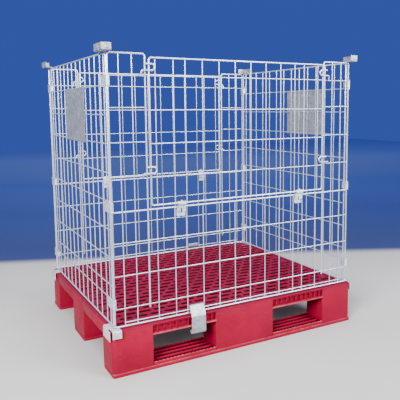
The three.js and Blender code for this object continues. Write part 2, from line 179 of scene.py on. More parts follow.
def wire(form, path, radius, sides=12, closed=False):
    """A round wire along a path, with its cut ends slightly broken."""
    path = [Vector(p) for p in path]
    n = len(path)
    tangents = []
    for i in range(n):
        ahead = path[(i + 1) % n] if closed or i < n - 1 else path[i]
        behind = path[i - 1] if closed or i > 0 else path[i]
        tangents.append((ahead - behind).normalized())
    normal = tangents[0].orthogonal().normalized()
    rings = []
    for i in range(n):
        if i:
            normal = tangents[i - 1].rotation_difference(tangents[i]) @ normal
        side = tangents[i].cross(normal)
        rings.append((path[i], normal.copy(), side, radius))
    if not closed:
        break_off = radius * 0.25
        first, last = rings[0], rings[-1]
        rings.insert(1, (first[0] + tangents[0] * break_off, first[1], first[2], radius))
        rings[0] = (first[0], first[1], first[2], radius * 0.72)
        rings[-1] = (last[0] - tangents[-1] * break_off, last[1], last[2], radius)
        rings.append((last[0], last[1], last[2], radius * 0.72))
    turns = [(math.cos(a), math.sin(a)) for a in (2 * math.pi * j / sides for j in range(sides))]
    form.loft([[c + (u * x + v * y) * r for x, y in turns] for c, u, v, r in rings], closed)


def prism(form, outline, z0, z1, edge=1.2, edge_bottom=None):
    """An upright block over a convex outline, its top and bottom edges rounded."""
    low = edge if edge_bottom is None else edge_bottom
    centre = sum((Vector((x, y)) for x, y in outline), Vector((0, 0))) / len(outline)

    def ring(inset, z):
        points = []
        n = len(outline)
        for i in range(n):
            p = Vector(outline[i])
            a = (p - Vector(outline[i - 1])).normalized()
            b = (Vector(outline[(i + 1) % n]) - p).normalized()
            inward = Vector((-a.y - b.y, a.x + b.x)).normalized()
            if inward.dot(centre - p) < 0:
                inward = -inward
            points.append((p.x + inward.x * inset, p.y + inward.y * inset, z))
        return points

    rings = [ring(low, z0), ring(low * 0.3, z0 + low * 0.3), ring(0, z0 + low)]
    rings += [ring(0, z1 - edge), ring(edge * 0.3, z1 - edge * 0.3), ring(edge, z1)]
    form.loft(rings)


def outline_box(x0, x1, y0, y1, radii=3.0, steps=5):
    """Rectangle with rounded corners, counter-clockwise from the low corner."""
    if not isinstance(radii, (list, tuple)):
        radii = [radii] * 4
    corners = [Vector((x0, y0, 0)), Vector((x1, y0, 0)), Vector((x1, y1, 0)), Vector((x0, y1, 0))]
    points = []
    for i, corner in enumerate(corners):
        arc = arc_corner(corners[i - 1], corner, corners[(i + 1) % 4], radii[i], steps)
        points += [(p.x, p.y) for p in arc]
    return points


def bar(form, x, y, z, edge=0.8):
    """A straight rib or wall with broken edges, given by its three spans."""
    prism(form, outline_box(x[0], x[1], y[0], y[1], edge, 2), z[0], z[1], edge)


def strip(form, centre, thickness, low, high, place, bend=2.5, edge=0.35, steps=5):
    """Folded sheet: a centre line of (u, v) points, rounded at its folds, pushed from low to high.
    place turns (u, v, w) into a point of the part's frame."""
    path = rounded([(u, v, 0) for u, v in centre], bend, steps)
    n = len(path)
    half = thickness / 2
    sides = []
    for i in range(n):
        a = (path[max(i, 1)] - path[max(i, 1) - 1]).normalized()
        b = (path[min(i, n - 2) + 1] - path[min(i, n - 2)]).normalized()
        along = (a + b).normalized()
        reach = 1 / max(along.dot(b), 0.3)
        sides.append((Vector((-along.y, along.x, 0)) * reach, along))

    def ring(h, trim, w):
        left = []
        right = []
        for i, (normal, along) in enumerate(sides):
            shift = along * (trim if i == 0 else -trim if i == n - 1 else 0)
            p = path[i] + shift + normal * h
            q = path[i] + shift - normal * h
            left.append(place(p.x, p.y, w))
            right.append(place(q.x, q.y, w))
        return left, right

    layers = [ring(half - edge, edge, low), ring(half, 0, low + edge)]
    layers += [ring(half, 0, high - edge), ring(half - edge, edge, high)]
    verts = [p for left, right in layers for p in left + right]
    faces = []
    for k in range(3):
        a = k * 2 * n
        b = a + 2 * n
        for i in range(n - 1):
            faces.append((a + i, a + i + 1, b + i + 1, b + i))
            faces.append((a + n + i + 1, a + n + i, b + n + i, b + n + i + 1))
        faces.append((a + n, a, b, b + n))
        faces.append((a + n - 1, a + 2 * n - 1, b + 2 * n - 1, b + n - 1))
    top = 6 * n
    for i in range(n - 1):
        faces.append((i + 1, i, n + i, n + i + 1))
        faces.append((top + i, top + i + 1, top + n + i + 1, top + n + i))
    folded = Form()
    folded.add(verts, faces)
    facing_out(folded)
    form.add(folded.verts, folded.faces)
    form.sheet = True


def lies_flat(polygon):
    """Whether a face of a folded sheet is one of its flats, and not part of a fold or a broken edge."""
    return polygon.area > SHEET_FLAT or max(abs(part) for part in polygon.normal) > 0.99


def signed_volume(form):
    total = 0.0
    for face in form.faces:
        a = form.verts[face[0]]
        for i in range(1, len(face) - 1):
            total += a.dot(form.verts[face[i]].cross(form.verts[face[i + 1]]))
    return total


def facing_out(form):
    """Turns a closed skin the right way out."""
    if signed_volume(form) < 0:
        form.faces = [tuple(reversed(face)) for face in form.faces]


def along_x(u, v, w):
    """Section in Y and height, pushed along X."""
    return Vector((w, u, rail(v)))


def along_y(u, v, w):
    """Section in X and height, pushed along Y."""
    return Vector((u, w, rail(v)))


def along_z(u, v, w):
    """Section in X and Y, pushed along Z."""
    return Vector((u, v, rail(w)))


def carve(form, cutters):
    """The form with closed cutters taken away."""
    target = form.object("carved")
    tool = cutters.object("carved_tool")
    modifier = target.modifiers.new("cut", "BOOLEAN")
    modifier.operation = "DIFFERENCE"
    modifier.solver = "EXACT"
    modifier.use_self = True
    modifier.object = tool
    shape = target.evaluated_get(bpy.context.evaluated_depsgraph_get())
    data = shape.to_mesh()
    result = Form()
    result.add([v.co * 1000 for v in data.vertices], [tuple(p.vertices) for p in data.polygons])
    result.sheet = form.sheet
    shape.to_mesh_clear()
    for obj in (target, tool):
        data = obj.data
        bpy.data.objects.remove(obj)
        bpy.data.meshes.remove(data)
    return result


# ---------------------------------------------------------------- materials


def new_material(name):
    material = bpy.data.materials.new(name)
    material.use_nodes = True
    nodes = material.node_tree.nodes
    return material, nodes, material.node_tree.links, nodes["Principled BSDF"]


def texture(nodes, links, kind, scale, source, **inputs):
    node = nodes.new(kind)
    node.inputs["Scale"].default_value = scale
    for key, value in inputs.items():
        node.inputs[key.replace("_", " ")].default_value = value
    links.new(source, node.inputs["Vector"])
    return node


def stretched(nodes, links, source, scale):
    node = nodes.new("ShaderNodeMapping")
    node.inputs["Scale"].default_value = scale
    links.new(source, node.inputs["Vector"])
    return node.outputs["Vector"]


def ramp(nodes, links, source, stops):
    node = nodes.new("ShaderNodeValToRGB")
    node.color_ramp.elements[0].position = stops[0][0]
    node.color_ramp.elements[0].color = (*stops[0][1], 1)
    node.color_ramp.elements[1].position = stops[-1][0]
    node.color_ramp.elements[1].color = (*stops[-1][1], 1)
    for position, colour in stops[1:-1]:
        node.color_ramp.elements.new(position).color = (*colour, 1)
    links.new(source, node.inputs["Fac"])
    return node.outputs["Color"]


def mixed(nodes, links, factor, a, b, mode="MIX"):
    node = nodes.new("ShaderNodeMix")
    node.data_type = "RGBA"
    node.blend_type = mode
    for socket, value in ((node.inputs[0], factor), (node.inputs[6], a), (node.inputs[7], b)):
        if isinstance(value, bpy.types.NodeSocket):
            links.new(value, socket)
        else:
            socket.default_value = value
    return node.outputs[2]


def ranged(nodes, links, source, low, high, from_low=0.0, from_high=1.0, kind="LINEAR"):
    node = nodes.new("ShaderNodeMapRange")
    node.interpolation_type = kind
    node.inputs["From Min"].default_value = from_low
    node.inputs["From Max"].default_value = from_high
    node.inputs["To Min"].default_value = low
    node.inputs["To Max"].default_value = high
    links.new(source, node.inputs["Value"])
    return node.outputs["Result"]


def bump(nodes, links, height, strength, distance, under=None):
    node = nodes.new("ShaderNodeBump")
    node.inputs["Strength"].default_value = strength
    node.inputs["Distance"].default_value = distance
    links.new(height, node.inputs["Height"])
    if under is not None:
        links.new(under, node.inputs["Normal"])
    return node.outputs["Normal"]


def zinc_wire_material():
    """Bright zinc plating: even silver, duller in patches, fine drawing lines and specks."""
    material, nodes, links, shader = new_material("zinc_wire_finish")
    place = nodes.new("ShaderNodeTexCoord").outputs["Object"]
    patches = texture(nodes, links, "ShaderNodeTexNoise", 9.0, place, Detail=3.0, Roughness=0.6)
    grain = texture(nodes, links, "ShaderNodeTexNoise", 900.0, place, Detail=2.0)
    specks = texture(nodes, links, "ShaderNodeTexNoise", 160.0, place, Detail=4.0, Roughness=0.7)
    silver = ramp(nodes, links, patches.outputs["Fac"], [
        (0.30, (0.36, 0.40, 0.46)), (0.5, (0.45, 0.49, 0.55)), (0.72, (0.54, 0.575, 0.625))])
    dull = ramp(nodes, links, specks.outputs["Fac"], [(0.60, (1, 1, 1)), (0.70, (0.72, 0.72, 0.71))])
    links.new(mixed(nodes, links, 0.8, silver, dull, "MULTIPLY"), shader.inputs["Base Color"])
    shader.inputs["Metallic"].default_value = 0.62
    links.new(ranged(nodes, links, patches.outputs["Fac"], 0.36, 0.22), shader.inputs["Roughness"])
    fine = bump(nodes, links, grain.outputs["Fac"], 0.25, 0.0002)
    links.new(bump(nodes, links, specks.outputs["Fac"], 0.15, 0.0004, fine), shader.inputs["Normal"])
    return material


def zinc_sheet_material(name, lift):
    """Galvanised sheet: crystal flakes of differing shade, rolling lines and dull smears.
    lift scales its shades: at 1.9 it makes a lighter copy for the small pressed parts, painted light standing
    in for the stronger light falling on them."""
    material, nodes, links, shader = new_material(name)
    place = nodes.new("ShaderNodeTexCoord").outputs["Object"]
    wobble = texture(nodes, links, "ShaderNodeTexNoise", 60.0, place, Detail=2.0)
    warped = mixed(nodes, links, 0.02, place, wobble.outputs["Color"])
    flakes = texture(nodes, links, "ShaderNodeTexVoronoi", 95.0, warped, Randomness=1.0)
    smear = texture(nodes, links, "ShaderNodeTexNoise", 12.0, place, Detail=5.0, Roughness=0.65)
    lines = texture(nodes, links, "ShaderNodeTexNoise", 40.0,
                    stretched(nodes, links, place, (1.0, 1.0, 30.0)), Detail=2.0)
    split = nodes.new("ShaderNodeSeparateColor")
    links.new(flakes.outputs["Color"], split.inputs["Color"])
    tones = ((0.0, (0.23, 0.245, 0.265)), (0.5, (0.29, 0.305, 0.325)), (1.0, (0.37, 0.385, 0.40)))
    shade = ramp(nodes, links, split.outputs["Red"], [
        (position, tuple(lift * part for part in tone)) for position, tone in tones])
    dull = ramp(nodes, links, smear.outputs["Fac"], [(0.35, (0.84, 0.84, 0.83)), (0.65, (1, 1, 1))])
    links.new(mixed(nodes, links, 1.0, shade, dull, "MULTIPLY"), shader.inputs["Base Color"])
    shader.inputs["Metallic"].default_value = 0.65
    rough = mixed(nodes, links, 0.5, split.outputs["Green"], smear.outputs["Fac"])
    links.new(ranged(nodes, links, rough, 0.34, 0.56), shader.inputs["Roughness"])
    fine = bump(nodes, links, lines.outputs["Fac"], 0.12, 0.0003)
    links.new(bump(nodes, links, split.outputs["Blue"], 0.06, 0.0002, fine), shader.inputs["Normal"])
    return material


def combined(nodes, links, operation, a, b):
    """Two values joined by one arithmetic step."""
    node = nodes.new("ShaderNodeMath")
    node.operation = operation
    links.new(a, node.inputs[0])
    links.new(b, node.inputs[1])
    return node.outputs[0]


def box_mask(nodes, links, place, centre, half, soft):
    """One inside a box in metres and its mirror images, falling to nothing over the soft distance outside."""
    folded = nodes.new("ShaderNodeVectorMath")
    folded.operation = "ABSOLUTE"
    links.new(place, folded.inputs[0])
    shifted = nodes.new("ShaderNodeVectorMath")
    shifted.operation = "SUBTRACT"
    shifted.inputs[1].default_value = centre
    links.new(folded.outputs["Vector"], shifted.inputs[0])
    size = nodes.new("ShaderNodeVectorMath")
    size.operation = "ABSOLUTE"
    links.new(shifted.outputs["Vector"], size.inputs[0])
    split = nodes.new("ShaderNodeSeparateXYZ")
    links.new(size.outputs["Vector"], split.inputs["Vector"])
    inside = [
        ranged(nodes, links, split.outputs[axis], 1.0, 0.0, limit, limit + soft)
        for axis, limit in zip("XYZ", half)]
    return combined(nodes, links, "MINIMUM", combined(nodes, links, "MINIMUM", *inside[:2]), inside[2])


def red_plastic_material():
    """Moulded red polyethylene: mottled colour, fine grain and pale scuffs, with painted highlights on the
    pocket lips, skid teeth and skid seam, painted shade on the up-facing deck top, and painted shade in the
    deck's hollows and the pocket ribs.
    """
    material, nodes, links, shader = new_material("red_plastic_finish")
    place = nodes.new("ShaderNodeTexCoord").outputs["Object"]
    mottle = texture(nodes, links, "ShaderNodeTexNoise", 7.0, place, Detail=5.0, Roughness=0.6)
    cloud = texture(nodes, links, "ShaderNodeTexNoise", 45.0, place, Detail=4.0, Roughness=0.65)
    grain = texture(nodes, links, "ShaderNodeTexNoise", 700.0, place, Detail=2.0)
    scuffs = texture(nodes, links, "ShaderNodeTexNoise", 26.0,
                     stretched(nodes, links, place, (1.0, 1.2, 14.0)), Detail=6.0, Roughness=0.75)
    red = ramp(nodes, links, mottle.outputs["Fac"], [
        (0.30, (0.128, 0.0002, 0.0105)), (0.5, (0.154, 0.0003, 0.0130)), (0.70, (0.182, 0.0006, 0.0155))])
    clouded = mixed(nodes, links, ranged(nodes, links, cloud.outputs["Fac"], 0.0, 0.16, 0.4, 0.75),
                    red, (0.21, 0.004, 0.014, 1))
    scuffs_and_highlights = ranged(nodes, links, scuffs.outputs["Fac"], 0.0, 0.42, 0.58, 0.74)
    # Painted highlights: a pale tint, broken up by noise, on the pocket band lips, the front edge of the skid
    # teeth and the seam between skid and block, where these edges catch light.
    lips = box_mask(nodes, links, place, (0.288, 0.5, 0.1468), (0.144, 0.012, 0.0038), 0.001)
    teeth = box_mask(nodes, links, place, (0.288, 0.5, 0.0308), (0.142, 0.006, 0.0020), 0.001)
    highlight_breakup = ranged(nodes, links, cloud.outputs["Fac"], 0.25, 0.95, 0.35, 0.65)
    seam = box_mask(nodes, links, place, (0, 0.5, 0.0152), (0.6, 0.012, 0.0016), 0.001)
    bands = combined(nodes, links, "MAXIMUM", combined(nodes, links, "MAXIMUM", lips, teeth), seam)
    edge_highlights = combined(nodes, links, "MULTIPLY", bands, highlight_breakup)
    scuffs_and_highlights = combined(nodes, links, "MAXIMUM", scuffs_and_highlights, edge_highlights)
    # The pale colour is shared by the real scuffs and the painted edge highlights.
    scuffed_and_highlighted = mixed(nodes, links, scuffs_and_highlights, clouded, (0.30, 0.045, 0.060, 1))
    # Painted shade: upward-facing faces near the deck top are painted darker, standing in for shade on the
    # deck.
    normal = nodes.new("ShaderNodeNewGeometry").outputs["Normal"]
    upward = nodes.new("ShaderNodeSeparateXYZ")
    links.new(normal, upward.inputs["Vector"])
    lying = ranged(nodes, links, upward.outputs["Z"], 0.0, 1.0, 0.7, 1.0)
    deck = box_mask(nodes, links, place, (0, 0, 0.19), (0.7, 0.7, 0.04), 0.001)
    deck_top_painted_shade = combined(nodes, links, "MULTIPLY", lying, deck)
    # thickness sets how strongly the painted shade darkens, following the mottle.
    thickness = ranged(nodes, links, mottle.outputs["Fac"], 0.74, 0.46, 0.3, 0.7)
    deck_top_painted_shade = combined(nodes, links, "MULTIPLY", deck_top_painted_shade, thickness)
    # The dark purple-red is the painted shade colour for the deck top.
    deck_top_shaded = mixed(nodes, links, deck_top_painted_shade, scuffed_and_highlighted, (0.100, 0.0018, 0.016, 1))
    # Painted shade: the hollows under the deck skin (slot walls, egg-crate ribs) and the skid rib grid in the
    # fork pockets are painted near black, standing in for the shade inside them.
    slots = box_mask(nodes, links, place, (0, 0, 0.1690), (0.588, 0.478, 0.0190), 0.0015)
    ribs = box_mask(nodes, links, place, (0.288, 0.247, 0.0205), (0.142, 0.247, 0.0045), 0.001)
    hollow_painted_shade = combined(nodes, links, "MAXIMUM", slots, ribs)
    deep = combined(nodes, links, "MULTIPLY", hollow_painted_shade, ranged(nodes, links, grain.outputs["Fac"], 0.84, 0.92))
    links.new(mixed(nodes, links, deep, deck_top_shaded, (0.022, 0.0006, 0.004, 1)), shader.inputs["Base Color"])
    links.new(ranged(nodes, links, cloud.outputs["Fac"], 0.40, 0.60, 0.3, 0.7), shader.inputs["Roughness"])
    shader.inputs["Specular IOR Level"].default_value = 0.10
    fine = bump(nodes, links, grain.outputs["Fac"], 0.18, 0.0003)
    links.new(bump(nodes, links, scuffs.outputs["Fac"], 0.10, 0.0006, fine), shader.inputs["Normal"])
    return material


WIRE = zinc_wire_material()
SHEET = zinc_sheet_material("zinc_sheet_finish", 1.0)
# Painted light: a copy of the sheet finish 1.9 times lighter, used on the clips, hinge plates and foot plates
# where stronger light falls.
SHEET_PAINTED_LIGHTER = zinc_sheet_material("zinc_sheet_painted_lighter", 1.9)
PLASTIC = red_plastic_material()
SLOTS = {"zinc_wire": WIRE, "zinc_sheet": SHEET, "red_plastic": PLASTIC}


def piece(form, node, body, slot, finish=None):
    """Puts a finished shape in the scene in place of one CAD node."""
    obj = form.object("look_" + node)
    obj.data.materials.append(finish or SLOTS[slot])
    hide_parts(node)
    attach(obj, body)
    return obj


# ---------------------------------------------------------------- pallet

SLOT_PITCH_X = 65.0
SLOT_PITCH_Y = 43.0
SLOT_LENGTH = 50.0
SLOT_WIDTH = 22.0
DECK_SKIN = 7.0


def deck_slot_centres():
    rows = 21
    columns = 17
    for row in range(rows):
        y = (row - (rows - 1) / 2) * SLOT_PITCH_Y
        shift = SLOT_PITCH_X / 4 * (1 if row % 2 else -1)
        for column in range(columns):
            yield (column - (columns - 1) / 2) * SLOT_PITCH_X + shift, y


def deck_plate():
    """The deck skin with its slots, filled as a flat curve so every rim is rounded."""
    edge = 1.3
    curve = bpy.data.curves.new("deck", "CURVE")
    curve.dimensions = "2D"
    curve.fill_mode = "BOTH"
    curve.extrude = (DECK_SKIN / 2 - edge) / 1000
    curve.bevel_depth = edge / 1000
    curve.bevel_resolution = 1
    outlines = [outline_box(-PALLET_X + edge, PALLET_X - edge, -PALLET_Y + edge, PALLET_Y - edge, 20, 6)]
    for x, y in deck_slot_centres():
        half_x = SLOT_LENGTH / 2 + edge
        half_y = SLOT_WIDTH / 2 + edge
        outlines.append(outline_box(x - half_x, x + half_x, y - half_y, y + half_y, 5, 2))
    for outline in outlines:
        spline = curve.splines.new("POLY")
        spline.points.add(len(outline) - 1)
        for point, (x, y) in zip(spline.points, outline):
            point.co = (x / 1000, y / 1000, 0, 1)
        spline.use_cyclic_u = True
    holder = bpy.data.objects.new("deck", curve)
    bpy.context.scene.collection.objects.link(holder)
    shape = holder.evaluated_get(bpy.context.evaluated_depsgraph_get())
    data = shape.to_mesh()
    form = Form()
    lift = Vector((0, 0, PALLET_TOP - DECK_SKIN / 2))
    form.add([v.co * 1000 + lift for v in data.vertices], [tuple(p.vertices) for p in data.polygons])
    shape.to_mesh_clear()
    bpy.data.objects.remove(holder)
    bpy.data.curves.remove(curve)
    return form


def pallet_blocks(form):
    for x0, x1 in BLOCKS_X:
        for y0, y1 in BLOCKS_Y:
            radii = []
            for x, y in ((x0, y0), (x1, y0), (x1, y1), (x0, y1)):
                radii.append(20.0 if abs(x) == PALLET_X and abs(y) == PALLET_Y else 5.0)
            prism(form, outline_box(x0, x1, y0, y1, radii, 6), 15.0, PALLET_TOP - DECK_SKIN + 1, 1.0, 2.2)


def pallet_edges(form):
    """Rims between the blocks on the short sides, with a thickened lower edge."""
    for side in (-1, 1):
        for y0, y1 in ((-378, -82), (82, 378)):
            outer = sorted((side * PALLET_X, side * 591.0))
            bar(form, outer, (y0, y1), (140, 186), 2.0)
            shelf = sorted((side * PALLET_X, side * 584.0))
            bar(form, shelf, (y0, y1), (140, 146), 2.0)


def pocket_bands(form):
    """Ribbed bands over the fork pockets, on both long faces."""
    for side in (-1, 1):
        for x0, x1 in POCKETS_X:
            wall = sorted((side * 488.0, side * 481.0))
            bar(form, (x0 - 2, x1 + 2), wall, (143, 186), 1.0)
            lip = sorted((side * PALLET_Y, side * 482.0))
            bar(form, (x0 - 2, x1 + 2), lip, (143, 150.5), 1.6)
            bar(form, (x0 - 2, x1 + 2), lip, (181, 187), 1.0)
            count = 10
            pitch = (x1 - x0) / (count + 0.4)
            for i in range(count):
                x = x0 + pitch * (i + 0.7)
                bar(form, (x - 1.6, x + 1.6), sorted((side * 498.0, side * 484.0)), (146, 184), 0.7)


def under_ribs(form):
    """Egg-crate ribs under the deck skin."""
    z = (153.0, PALLET_TOP - DECK_SKIN + 1)
    for row in range(22):
        y = (row - 10.5) * SLOT_PITCH_Y
        bar(form, (-592, 592), (y - 1.5, y + 1.5), z, 0.6)
    for column in range(9):
        x = (column - 4) * SLOT_PITCH_X * 2
        bar(form, (x - 1.5, x + 1.5), (-484, 484), z, 0.6)


def make_pallet():
    form = deck_plate()
    pallet_blocks(form)
    pallet_edges(form)
    pocket_bands(form)
    under_ribs(form)
    piece(form, "pallet_deck", ROOT, "red_plastic")
    for name, (y0, y1) in zip(("front", "middle", "rear"), BLOCKS_Y):
        piece(skid(y0, y1), f"pallet_skid_{name}", ROOT, "red_plastic")


def skid(y0, y1):
    """A runner: flat under the blocks, a deep rib grid with a toothed edge across the pockets."""
    form = Form()
    prism(form, outline_box(-PALLET_X, PALLET_X, y0, y1, 8.0, 5), 0, 14.7, 1.6, 2.0)
    for x0, x1 in POCKETS_X:
        x0 += 0.4
        x1 -= 0.4
        bar(form, (x0, x1), (y0 + 0.3, y1 - 0.3), (12, 19), 1.2)
        for y in (y0 + 0.4, y1 - 4.4):
            bar(form, (x0, x1), (y, y + 4), (17, 29.6), 1.0)
        lanes = 4
        for i in range(1, lanes):
            y = y0 + 2 + (y1 - y0 - 4) * i / lanes
            bar(form, (x0, x1), (y - 2.5, y + 2.5), (17, 31.6), 1.0)
        teeth = 17
        pitch = (x1 - x0) / teeth
        for i in range(teeth):
            x = x0 + pitch * (i + 0.5)
            bar(form, (x - 1.6, x + 1.6), (y0 + 2, y1 - 2), (17, 23.0), 0.8)
            for y in (y0 + 0.5, y1 - 4.5):
                bar(form, (x - 5, x + 5), (y, y + 4), (28, 32), 1.0)
    return form


# ---------------------------------------------------------------- wire panels


def front(x, height, y=-CAGE_Y):
    return Vector((x, y, rail(height)))


def column(form, x, h0, h1, y=-CAGE_Y + CROSS):
    wire(form, [front(x, h0, y), front(x, h1, y)], MESH_R)


def row(form, height, x0, x1, y=-CAGE_Y - CROSS):
    wire(form, [front(x0, height, y), front(x1, height, y)], MESH_R)


def lower_panel():
    form = Form()
    top = MID_RAIL + FRAME_R
    frame_path = [front(-CAGE_X, top), front(-CAGE_X, 0), front(CAGE_X, 0), front(CAGE_X, top)]
    wire(form, rounded(frame_path, BEND), FRAME_R, 16)
    wire(form, [front(-CAGE_X, MID_RAIL), front(CAGE_X, MID_RAIL)], FRAME_R, 16)
    row(form, SECOND_BAR, -540.6, 540.6)
    for x in both((GATE_POST,)):
        wire(form, [front(x, 57), front(x, top)], FRAME_R, 16)
    for x in both(OUTER_COLUMNS + GATE_COLUMNS):
        column(form, x, -1, MID_RAIL + 1)
    for height in LOWER_ROWS:
        row(form, height, -CAGE_X - 1, CAGE_X + 1)
    return form


def upper_panel():
    form = Form()
    bottom = MID_RAIL + FRAME_R + 0.3
    corners = [(-CAGE_X, bottom), (-CAGE_X, CAGE_TOP), (-GATE_POST, CAGE_TOP), (-GATE_POST, bottom)]
    path = [front(x, h) for x, h in corners]
    wire(form, rounded(path, BEND), FRAME_R, 16)
    for x in OUTER_COLUMNS:
        column(form, -x, bottom, CAGE_TOP + 1)
    for height in UPPER_ROWS:
        row(form, height, -CAGE_X - 1, -GATE_POST + 1)
    return form


def gate_panel():
    form = Form()
    corners = [
        (-GATE_HALF, GATE_BOTTOM), (GATE_HALF, GATE_BOTTOM), (GATE_HALF, GATE_TOP), (-GATE_HALF, GATE_TOP)]
    path = rounded([front(x, h, -GATE_Y) for x, h in corners], BEND, closed=True)
    wire(form, path, FRAME_R, 16, closed=True)
    for x in both(GATE_COLUMNS):
        column(form, x, GATE_BOTTOM - 1, GATE_TOP + 1, -GATE_Y + 2 * CROSS)
    for height in GATE_ROWS:
        row(form, height, -GATE_HALF - 1, GATE_HALF + 1, -GATE_Y)
    return form


def side_panel():
    form = Form()
    corners = [(-SIDE_FRAME_Y, 0), (SIDE_FRAME_Y, 0), (SIDE_FRAME_Y, CAGE_TOP), (-SIDE_FRAME_Y, CAGE_TOP)]
    path = rounded([(-CAGE_X, y, rail(h)) for y, h in corners], BEND, closed=True)
    wire(form, path, FRAME_R, 16, closed=True)
    for y in both(SIDE_COLUMNS):
        x = -CAGE_X + CROSS
        wire(form, [(x, y, rail(-1)), (x, y, rail(CAGE_TOP + 1))], MESH_R)
    for height in SIDE_ROWS:
        x = -CAGE_X - CROSS
        wire(form, [(x, -SIDE_FRAME_Y - 1, rail(height)), (x, SIDE_FRAME_Y + 1, rail(height))], MESH_R)
    return form


def latch_hook(leg, tip):
    y = -497.4
    loop_top = leg + 24
    path = [front(-441, loop_top, y)]
    path += arc_corner(path[0], front(-400, loop_top, y), front(-400, leg, y), 11.9, 8)
    path += arc_corner(front(-400, loop_top, y), front(-400, leg, y), front(-452, leg, y), 11.9, 8)[1:]
    path += arc_corner(front(-400, leg, y), front(-452, leg, y), front(-455, tip, y + 6), 6, 6)
    path.append(front(-455, tip, y + 6))
    form = Form()
    wire(form, path, 3.4, 14)
    return form


# ---------------------------------------------------------------- sheet parts


def hinge_plate(centre_x):
    """Folded plate: a loop round the gate's bottom wire, a shoulder over the rail, leaves joined below."""
    form = Form()
    section = [
        (-481.8, 422.0), (-481.8, 428.0), (-486.4, 431.0), (-486.4, 455.4), (-496.4, 461.6), (-496.4, 470.2),
        (-493.5, 473.4), (-488.5, 473.4), (-485.6, 470.2), (-485.6, 463.5), (-475.6, 457.4), (-475.6, 431.0),
        (-480.2, 428.0), (-480.2, 422.0),
    ]
    strip(form, section, 1.6, centre_x - HINGE_HALF, centre_x + HINGE_HALF, along_x, bend=2.4, edge=0.3)
    leaf = HINGE_HALF + 0.2
    strip(form, [(-481.0, 413.2), (-481.0, 427.5)], 3.4, centre_x - leaf, centre_x + leaf, along_x, edge=0.4)
    slot = Form()
    prism(slot, outline_box(centre_x - 4, centre_x + 4, -505, -465, 0.5, 2), rail(420), rail(446), 3.4, 3.4)
    form = carve(form, slot)
    peak = [(centre_x - 5, 473.4), (centre_x + 5, 473.4), (centre_x + 3.4, 479), (centre_x - 3.4, 479)]
    tab = Form()
    tab.loft([[Vector((x, y, rail(h))) for x, h in peak] for y in (-490.2, -491.8)])
    form.add(tab.verts, tab.faces)
    return form


def corner_clip(full, clear, end, dent_y):
    """Front left clip: a plate outside the side panel, curled round the corner wires."""
    form = Form()
    outer = [(-576.2, -487.25), (-587.35, -487.25), (-587.35, end)]
    strip(form, outer, 1.5, full[0], full[1], along_z, bend=2.6, edge=0.3)
    front_curl = [(-579.5, -487.25), (-575.4, -487.25), (-575.4, -476.8)]
    strip(form, front_curl, 1.5, clear[0], clear[1], along_z, bend=3.4, edge=0.3)
    rear_curl = [(-587.35, end - 4), (-587.35, end - 0.75), (-574.75, end - 0.75), (-574.75, end - 10)]
    strip(form, rear_curl, 1.5, clear[0], clear[1], along_z, bend=3.0, edge=0.3)
    middle = (full[0] + full[1]) / 2
    centre = sum(dent_y) / 2
    half = (dent_y[1] - dent_y[0]) / 2 + 1.2
    recess = Form()
    press = [(centre - half, middle - 8), (centre + half, middle - 8), (centre + half, middle + 8),
             (centre - half, middle + 8)]
    recess.loft([
        [Vector((-589.0, y, rail(h))) for y, h in press],
        [Vector((-588.1, y, rail(h))) for y, h in press],
        [Vector((-587.2, centre + (y - centre) * 0.7, rail(middle + (h - middle) * 0.7))) for y, h in press],
    ])
    facing_out(recess)
    form = carve(form, recess)
    dent = Form()
    outline = outline_box(-586.8, -583.9, dent_y[0], dent_y[1], 1.2, 3)
    prism(dent, outline, rail(middle - 6.5), rail(middle + 6.5), 1.2)
    form.add(dent.verts, dent.faces)
    return form


def pressed_button(form, centre, outward):
    """A shallow round boss pressed out of a flange."""
    across = Vector((outward.y, outward.x, 0)).normalized()
    rise = Vector((0, 0, 1))
    turns = [2 * math.pi * i / 20 for i in range(20)]
    rings = []
    for radius, height in ((8.0, -0.6), (7.6, 0.0), (5.2, 1.0), (2.4, 1.35)):
        rings.append([
            centre + outward * height + across * (radius * math.cos(t)) + rise * (radius * math.sin(t))
            for t in turns])
    button = Form()
    button.loft(rings)
    facing_out(button)
    form.add(button.verts, button.faces)


def stacking_plate_long():
    form = Form()
    section = [(-478.2, STACK_SEAT), (-508.25, STACK_SEAT), (-508.25, FLANGE_TOP)]
    strip(form, section, 2.5, -606.1, -572, along_x, 4.0, 0.5)
    pressed_button(form, Vector((-588.0, -509.4, rail(1069))), Vector((0, -1, 0)))
    return form


def stacking_plate_short():
    form = Form()
    section = [(-578.2, STACK_SEAT), (-607.75, STACK_SEAT), (-607.75, FLANGE_TOP)]
    strip(form, section, 2.5, -477.8, -415, along_y, 4.0, 0.5)
    strip(form, [(-607.75, STACK_SEAT + 3), (-607.75, FLANGE_TOP)], 2.5, -509.4, -477.0, along_y, 4.0, 0.5)
    pressed_button(form, Vector((-608.9, -462.0, rail(1069))), Vector((-1, 0, 0)))
    return form


def foot_plate_long():
    form = Form()
    section = [(-476.5, FOOT_SEAT), (-507.3, FOOT_SEAT), (-507.3, -35.0)]
    strip(form, section, 2.2, -600, -563, along_x, 3.5, 0.5)
    return form


def foot_plate_short():
    form = Form()
    section = [(-576.5, FOOT_SEAT), (-607.3, FOOT_SEAT), (-607.3, -47.0)]
    strip(form, section, 2.2, -470, -412, along_y, 3.5, 0.5)
    strip(form, [(-607.3, FOOT_SEAT - 2.5), (-607.3, -47.0)], 2.2, -496, -469, along_y, 3.5, 0.5)
    return form


